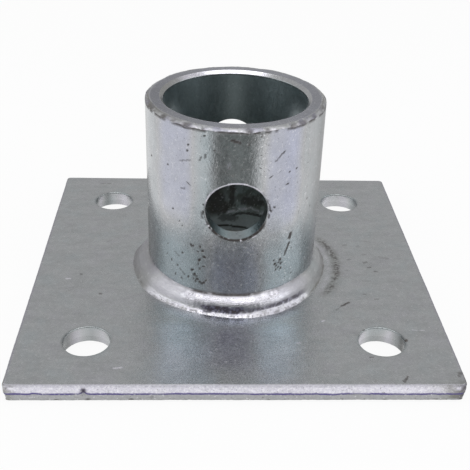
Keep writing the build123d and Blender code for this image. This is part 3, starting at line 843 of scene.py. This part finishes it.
def build_plate():
    shell = plate_shell()
    p = shell.points()
    edge, roll, cut, torn, seam = shell.named("edge", "roll", "cut", "torn", "seam")
    hole, hole_shade, hole_painted_light = shell.named("hole", "hole_shade", "hole_painted_light")
    x, y, z = p.T.copy()
    radius, turn = polar(p)
    top = z > plate_top - 0.02
    sheared = np.maximum(edge, hole) * (z > 0.005) * ~top
    corner = np.hypot(x - plate_half_x, y + plate_half_y)
    left_corner = np.hypot(x + plate_half_x, y + plate_half_y)

    # Streaks and tearing on the sheared faces, along the way out of the metal
    direction = np.zeros_like(p)
    side = abs(x) / plate_half_x > abs(y) / plate_half_y
    direction[:, 0] = np.where(side, np.sign(x), 0)
    direction[:, 1] = np.where(side, 0, np.sign(y))
    for cx, cy in bolt_centres:
        reach = np.maximum(np.hypot(x - cx, y - cy), 1e-6)
        near_hole = reach < bolt_radius + hole_margin
        direction[near_hole, 0] = -((x - cx) / reach)[near_hole]
        direction[near_hole, 1] = -((y - cy) / reach)[near_hole]
    streaks = 0.012 * noise(p, (0.45, 0.45, 6.0), 141) + 0.02 * noise(p, (1.6, 1.6, 9.0), 142)
    tearing = 0.06 * layered_noise(p, (0.9, 0.9, 1.6), 145)
    waves = 0.05 * layered_noise(p * (1, 1, 0), 18, 101)
    shift = sheared * ((1 - torn) * streaks + torn * tearing) + edge * sheared * waves
    shift += 0.03 * roll * noise(p, 0.7, 147)

    # A chipped front right corner, and a nick in the front edge
    chip = bell(corner, 0, 1.6)
    shift -= sheared * chip * 0.35 * (1 + 0.5 * noise(p, 0.8, 151))
    nick = sheared * (y < -plate_half_y + 1.0) * bell(np.hypot((x + 46.0) / 0.8, z - 4.0), 0, 1)
    shift -= 0.5 * nick
    p = p + direction * shift[:, None]

    depth, dirt = marked(p, x, y, plate_marks, 161)
    bright = np.zeros(len(p))
    for start, end, half_width in bright_marks:
        bright = np.maximum(bright, bell(segment_distance(x, y, start, end), 0, half_width))

    # Weld spatter to the right of the tube: dark grains, and a lighter band between them and the weld
    to_the_right = band(turn, 52, 62, 112, 122)
    ring = bell(radius, spatter_radius - 0.4 * np.sin(np.radians(turn * 3)), 1.6) * to_the_right * top
    spatter = ring * ramp(noise(p, 0.7, 171) + 0.5 * noise(p, 0.35, 172), -0.25, 0.15)
    halo = bell(radius, halo_radius, 0.9) * to_the_right * top * patches(p, 0.7, 175, -0.6, 0.5)
    unevenness = 0.02 * layered_noise(p * (1, 1, 0), 26, 181) + 0.05 * ring * noise(p, 1.1, 173)
    p[:, 2] += top * (0.10 * bright + 0.12 * spatter + unevenness - depth)

    # Films of the plating in front of the weld: a cyan strip, and a dark violet patch between cyan bands
    # The strip and the bands are also lighter: painted reflections of the weld's crown and the tube's bright
    # sides
    patch = band(y, -67, -58, -46, -41) * bell(x, -2.5, 8.5) * top
    cyan_reflection_bands = np.maximum(band(x, -29, -20, -10, -3), 0.75 * band(x, 3, 10, 16, 24)) * top
    cyan_reflection_bands *= ramp(y, -36, -42) * (1 - 0.5 * ramp(y, -60, -68)) * (0.9 + 0.4 * layered_noise(p, 9.0, 177))
    cyan_reflection_strip = bell(radius, cyan_strip_radius, 1.8) * ramp(abs(turn), 42, 28) * top
    film = top * (0.75 * cyan_reflection_bands + 0.7 * cyan_reflection_strip - 0.5 * patch) - 0.9 * edge * np.maximum(cut, roll)
    film += hole * (0.3 - 1.2 * hole_painted_light)

    # The front edge has painted sparkle and highlights. Its torn band is spotted, and both its corners are
    # stained.
    front_edge = edge * (y < -plate_half_y + 1.2)
    lower_spots = edge * torn * patches(p, 1.6, 191, 0.4, 0.75)
    chip_dirt = sheared * np.clip(chip * 1.4, 0, 1) * patches(p, 1.0, 193, -0.6, 0.5)
    # A painted shadow along the break, between the torn band and the smooth one
    break_line_shadow = seam * (0.65 + 0.35 * noise(p, 3.0, 195))
    corner_stain = np.maximum((1.0 + 0.3 * torn) * bell(corner, 0, 7.5), 0.8 * bell(left_corner, 0, 3.5))
    corner_stain *= sheared * edge * patches(p, 1.6, 197, -1.0, -0.1)
    stain_on_top = 0.5 * top * bell(corner, 0, 4.5) * patches(p, 1.8, 198, -0.7, 0.3)
    corner_stain = np.maximum(corner_stain, stain_on_top)
    # Painted sparkle on the burnished cut band, and a painted highlight on the front roll
    sparkling = (0.78 + 0.35 * noise(p, 0.8, 199)) * (1 - 0.7 * np.clip(corner_stain, 0, 1))
    burnish_and_sparkle = edge * cut * (1 - seam) * np.where(front_edge > 0, sparkling, 0.4)
    roll_highlight = front_edge * roll * sparkling * ramp(z, plate_top, plate_top - 0.3)
    dull_inside = (radius < bore_radius + 1.0) & top
    looks = {
        "dirt": strongest(dirt * top, 0.85 * spatter, 0.65 * lower_spots, 0.8 * chip_dirt,
                          0.9 * np.clip(nick * 1.3, 0, 1)),
        "olive": strongest(0.25 * torn * edge, 0.1 * hole, corner_stain, 0.3 * ring),
        "violet": strongest(1.8 * break_line_shadow, 0.08 * patch, nick, 0.3 * sheared * bell(corner, 0, 3.0)),
        "film": film,
        "bright": strongest(burnish_and_sparkle, bright * top, roll_highlight, 0.25 * cyan_reflection_strip, 0.36 * cyan_reflection_bands,
                            0.35 * halo, 0.3 * edge * torn * (1 - seam), 0.7 * hole_painted_light),
        "inside": dull_inside,
        "matt": strongest(0.8 * roll, 0.3 * torn, front_edge * roll, 0.35 * front_edge * cut,
                          0.6 * dull_inside),
        "shade": strongest(1.1 * hole * hole_shade, 0.4 * roll * (1 - front_edge), 0.35 * dull_inside,
                           0.2 * edge * torn),
        "grit": strongest(patch, 0.5 * ring, 0.5 * front_edge * np.maximum(cut, roll), 0.6 * edge * torn,
                          0.3 * top),
    }
    return shell.make("base_plate_looks", p, looks)


# Materials

class Tree:
    """Short names for building a material's nodes."""

    def __init__(self, material):
        material.use_nodes = True
        self.tree = material.node_tree
        self.tree.nodes.clear()

    def node(self, kind, inputs=(), **settings):
        made = self.tree.nodes.new(kind)
        for key, value in settings.items():
            setattr(made, key, value)
        for key, value in dict(inputs).items():
            self.give(made, key, value)
        return made

    def give(self, node, key, value):
        """Sets one input, from a constant or from another node's output."""
        if isinstance(value, bpy.types.NodeSocket):
            self.tree.links.new(value, node.inputs[key])
        else:
            node.inputs[key].default_value = value

    def read(self, name):
        """One of the values that a mesh carries at its points."""
        return self.node("ShaderNodeAttribute", attribute_name=name).outputs["Fac"]

    def place(self):
        return self.node("ShaderNodeTexCoord").outputs["Object"]

    def stretched(self, vector, scale):
        return self.node("ShaderNodeMapping", {"Vector": vector, "Scale": scale}).outputs["Vector"]

    def noise(self, vector, scale, detail=3.0, rough=0.5):
        inputs = {"Vector": vector, "Scale": scale, "Detail": detail, "Roughness": rough}
        return self.node("ShaderNodeTexNoise", inputs).outputs["Fac"]

    def spread(self, value, low, high, to_low, to_high):
        inputs = {"Value": value, "From Min": low, "From Max": high, "To Min": to_low, "To Max": to_high}
        return self.node("ShaderNodeMapRange", inputs).outputs["Result"]

    def mix(self, share, first, second):
        return self.node("ShaderNodeMix", {0: share, 6: first, 7: second}, data_type="RGBA").outputs[2]

    def maths(self, operation, *values):
        return self.node("ShaderNodeMath", enumerate(values), operation=operation).outputs[0]

    def sum(self, first, second):
        return self.maths("ADD", first, second)

    def product(self, first, second):
        return self.maths("MULTIPLY", first, second)

    def larger(self, first, second):
        return self.maths("MAXIMUM", first, second)

    def scaled(self, colour, factor):
        made = self.node("ShaderNodeVectorMath", {0: colour, "Scale": factor}, operation="SCALE")
        return made.outputs["Vector"]

    def finish(self, surface):
        self.node("ShaderNodeOutputMaterial", {"Surface": surface})


def zinc(name, tones, blotches, rough, grain, drawn_out):
    """Bright zinc plating. tones are its colours where the film is lavender, neutral and cyan, and inside.

    drawn_out makes the vector of the fine grain, which runs along the way the metal was drawn or laid.
    """
    material = bpy.data.materials.new(name)
    t = Tree(material)
    place = t.place()
    drawn = drawn_out(t, place)
    lavender, neutral, cyan, inner = [(*tone, 1) for tone in tones]
    bright, inside, matt, grit = [t.read(key) for key in ("bright", "inside", "matt", "grit")]

    # Colour of the clean metal: the film's tint, paler metal and painted highlights from bright, then a fine
    # mottle
    film = t.sum(t.read("film"), t.spread(t.noise(place, 130.0), 0.3, 0.7, -blotches, blotches))
    colour = t.mix(t.spread(film, 0.0, -1.0, 0.0, 1.0), neutral, lavender)
    colour = t.mix(t.spread(film, 0.0, 1.0, 0.0, 1.0), colour, cyan)
    colour = t.mix(inside, colour, inner)
    colour = t.mix(t.product(bright, 0.85), colour, (0.88, 0.86, 0.96, 1))
    fine_mottle = t.spread(t.noise(drawn, 1500.0, 2.0, 0.6), 0.3, 0.7, -1.0, 1.0)
    broad_mottle = t.spread(t.noise(drawn, 600.0, 2.0), 0.3, 0.7, -1.0, 1.0)
    mottle = t.sum(t.product(fine_mottle, 0.6), t.product(broad_mottle, 0.5))
    amount = t.spread(grit, 0.0, 1.0, 0.03, 0.2)
    clouds = t.noise(t.stretched(place, (0.4, 1.0, 0.7)), 260.0, 3.0, 0.6)
    light = t.sum(t.sum(t.product(mottle, amount), 1.0), t.spread(clouds, 0.3, 0.7, -0.06, 0.06))
    colour = t.scaled(colour, t.product(light, t.spread(t.read("shade"), 0.0, 1.0, 1.0, 0.0)))

    # Stains and dirt, with specks of their own, and small painted glints and sparkle
    # olive, violet and dirt also carry painted shadow and painted dark reflection on the weld and the plate's
    # edge
    colour = t.mix(t.product(t.read("olive"), 0.8), colour, (0.17, 0.165, 0.115, 1))
    colour = t.mix(t.product(t.read("violet"), 0.9), colour, (0.065, 0.045, 0.23, 1))
    glints = t.spread(t.noise(place, 1150.0, 1.0), 0.64, 0.71, 0.0, 1.0)
    colour = t.mix(t.product(glints, t.product(grit, 0.8)), colour, (0.88, 0.88, 0.90, 1))
    sparkle = t.product(t.spread(fine_mottle, 0.0, 0.6, 0.0, 0.8), t.spread(bright, 0.3, 0.9, 0.0, 1.0))
    colour = t.mix(sparkle, colour, (0.97, 0.96, 0.99, 1))
    specks = t.spread(t.noise(place, 1350.0, 1.0), 0.67, 0.74, 0.0, 0.7)
    flecks = t.spread(t.noise(place, 900.0, 2.0), 0.35, 0.65, 0.75, 1.0)
    soil = t.larger(t.product(t.read("dirt"), flecks), t.product(specks, grit))
    soil_colour = t.mix(t.noise(place, 400.0, 2.0), (0.016, 0.013, 0.015, 1), (0.075, 0.058, 0.05, 1))
    colour = t.mix(soil, colour, soil_colour)

    roughness = t.sum(t.spread(mottle, -1.0, 1.0, rough - 0.04, rough + 0.04), t.product(matt, 0.3))
    roughness = t.sum(roughness, t.product(soil, 0.35))
    roughness = t.sum(roughness, t.product(inside, 0.06))
    metal = t.product(t.spread(soil, 0.0, 1.0, 1.0, 0.0), t.spread(matt, 0.0, 1.0, 1.0, 0.25))
    height = t.sum(t.product(t.noise(drawn, 2600.0, 2.0, 0.6), 0.5), t.noise(drawn, 1300.0, 2.0))
    bump = t.node("ShaderNodeBump", {"Strength": grain, "Distance": 0.0001, "Height": height})
    shader = t.node("ShaderNodeBsdfPrincipled", {"Base Color": colour, "Roughness": roughness,
                                                 "Metallic": metal, "Normal": bump.outputs["Normal"]})
    t.finish(shader.outputs["BSDF"])
    return material


def even_grain(t, place):
    return place


def along_tube(t, place):
    """Grain somewhat longer along the tube than around it."""
    return t.stretched(place, (1.0, 1.0, 0.6))


def around_tube(t, place):
    """Grain that is long around the tube and short across the weld's face."""
    parts = t.node("ShaderNodeSeparateXYZ", {0: place}).outputs
    reach = t.node("ShaderNodeVectorMath", {0: place}, operation="LENGTH").outputs["Value"]
    across = t.sum(reach, t.product(parts["Z"], -1.0))
    inputs = {"X": t.product(parts["X"], 0.3), "Y": t.product(parts["Y"], 0.3), "Z": t.product(across, 2.0)}
    return t.node("ShaderNodeCombineXYZ", inputs).outputs["Vector"]


# The pieces

tube = build_tube()
weld = build_weld()
plate = build_plate()

tube_tones = [(0.51, 0.53, 0.64), (0.53, 0.535, 0.55), (0.46, 0.53, 0.56), (0.50, 0.56, 0.575)]
weld_tones = [(0.58, 0.57, 0.63), (0.61, 0.61, 0.62), (0.55, 0.60, 0.61), (0.5, 0.5, 0.5)]
plate_tones = [(0.52, 0.51, 0.57), (0.51, 0.525, 0.535), (0.46, 0.53, 0.56), (0.50, 0.53, 0.51)]
tube.data.materials.append(zinc("zinc_plated_tube", tube_tones, 0.12, 0.26, 0.35, along_tube))
weld.data.materials.append(zinc("zinc_plated_weld", weld_tones, 0.2, 0.27, 0.8, around_tube))
plate.data.materials.append(zinc("zinc_plated_plate", plate_tones, 0.25, 0.27, 0.55, even_grain))

for piece, node in ((tube, "socket_tube"), (weld, "weld_bead"), (plate, "base_plate")):
    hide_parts(node)
    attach(piece, "root")


# Stage: a white floor, soft lamps overhead and at both sides, and dark cloths that only the metal shows

def flat_piece(name, corners, material):
    mesh = bpy.data.meshes.new(name)
    mesh.from_pydata(corners, [], [tuple(range(len(corners)))])
    mesh.materials.append(material)
    obj = bpy.data.objects.new(name, mesh)
    bpy.context.scene.collection.objects.link(obj)
    return obj


def glow(t, colour, strength):
    return t.node("ShaderNodeEmission", {"Color": (*colour, 1), "Strength": strength}).outputs[0]


def white_floor():
    material = bpy.data.materials.new("white_floor")
    t = Tree(material)
    rays = t.node("ShaderNodeLightPath").outputs
    seen = t.larger(t.larger(rays["Is Camera Ray"], rays["Is Glossy Ray"]), rays["Is Transmission Ray"])
    colour = t.mix(t.noise(t.place(), 4.0), (0.94, 0.94, 0.94, 1), (0.96, 0.96, 0.96, 1))
    diffuse = t.node("ShaderNodeBsdfDiffuse", {"Color": colour}).outputs[0]
    inputs = {0: t.product(seen, 0.9), 1: diffuse, 2: glow(t, (1, 1, 1), 1.0)}
    t.finish(t.node("ShaderNodeMixShader", inputs).outputs[0])
    return material


def cloth(name, tone, soft_sides):
    """A dark cloth. With soft sides it is darkest at both sides of its middle, and fades out beyond them."""
    material = bpy.data.materials.new(name)
    t = Tree(material)
    place = t.place()
    weave = t.spread(t.noise(place, 30.0), 0.0, 1.0, 0.9, 1.1)
    share = 1.0
    if soft_sides:
        parts = t.node("ShaderNodeSeparateXYZ", {0: place}).outputs
        away = t.sum(t.product(parts["Y"], -1.0), -0.03)
        slant = t.maths("DIVIDE", parts["X"], away)
        weave = t.product(weave, t.spread(t.maths("ABSOLUTE", slant), 0.0, 0.28, 1.4, 0.75))
        share = t.product(t.spread(slant, -0.80, -0.55, 0.0, 1.0), t.spread(slant, 0.70, 0.45, 0.0, 1.0))
    clear = t.node("ShaderNodeBsdfTransparent").outputs[0]
    t.finish(t.node("ShaderNodeMixShader", {0: share, 1: clear, 2: glow(t, tone, weave)}).outputs[0])
    return material


floor_half = 6
floor_corners = [(sx * floor_half, sy * floor_half, 0) for sx, sy in ((-1, -1), (1, -1), (1, 1), (-1, 1))]
flat_piece("floor", floor_corners, white_floor())
dark_tone = (0.20, 0.215, 0.21)
lying_z = 0.0008
cloths = [
    ("floor_cloth", True, [(-0.060, -0.080, lying_z), (0.055, -0.080, lying_z), (0.29, -0.42, lying_z),
                           (-0.33, -0.42, lying_z)]),
    ("front_cloth", False, [(-0.290, -0.42, 0.0), (0.245, -0.42, 0.0), (0.30, -0.50, 0.30),
                            (-0.32, -0.50, 0.30)])]
for name, soft_sides, corners in cloths:
    obj = flat_piece(name, corners, cloth(name, dark_tone, soft_sides))
    obj.visible_camera = False
    obj.visible_diffuse = False
    obj.visible_shadow = False
    obj.visible_transmission = False


def soft_lamp(name, place, size_x, size_y, level, colour):
    """A rectangular lamp that faces the object. level is how bright its face is, where 1 shows as white."""
    light = bpy.data.lights.new(name, "AREA")
    light.shape = "RECTANGLE"
    light.size = size_x
    light.size_y = size_y
    light.energy = level * math.pi * size_x * size_y
    light.color = colour
    obj = bpy.data.objects.new(name, light)
    obj.location = place
    aim = lamp_target - Vector(place)
    obj.rotation_euler = aim.to_track_quat("-Z", "Y").to_euler()
    obj.visible_camera = False
    bpy.context.scene.collection.objects.link(obj)


lamp_target = Vector((0, 0, 0.03))
overhead_level = 1.5
side_level = 1.08
side_tint = (0.95, 0.99, 1.0)
soft_lamp("lamp_overhead", (0.0, -0.12, 1.0), 0.9, 0.75, overhead_level, (1.0, 1.0, 1.0))
soft_lamp("lamp_left", (-0.80, -0.15, 0.42), 0.9, 0.42, side_level, side_tint)
soft_lamp("lamp_right", (0.78, -0.20, 0.42), 0.9, 0.42, side_level, side_tint)

world = bpy.data.worlds.new("studio")
world.use_nodes = True
world.node_tree.nodes["Background"].inputs["Color"].default_value = (0.52, 0.52, 0.52, 1)
world.node_tree.nodes["Background"].inputs["Strength"].default_value = 1.0
bpy.context.scene.world = world


# Camera, found by fitting the plate's and the tube's outlines in the photograph

camera_data = bpy.data.cameras.new("camera")
camera_data.sensor_width = 36.0
camera_data.lens = 62.94
camera_data.clip_start = 0.01
camera = bpy.data.objects.new("camera", camera_data)
bpy.context.scene.collection.objects.link(camera)
camera_place = (-0.0121422, -0.2597071, 0.1675913)
yaw, pitch, roll = 0.0516, -0.5232, 0.0334
forward = Vector((math.sin(yaw) * math.cos(pitch), math.cos(yaw) * math.cos(pitch), math.sin(pitch)))
level_right = Vector((math.cos(yaw), -math.sin(yaw), 0.0))
level_up = level_right.cross(forward)
right = level_right * math.cos(roll) + level_up * math.sin(roll)
up = level_up * math.cos(roll) - level_right * math.sin(roll)
turned = Matrix((right, up, -forward)).transposed().to_4x4()
camera.matrix_world = Matrix.Translation(camera_place) @ turned
scene = bpy.context.scene
scene.camera = camera
scene.view_settings.view_transform = "Standard"
scene.cycles.max_bounces = 16
scene.cycles.glossy_bounces = 12
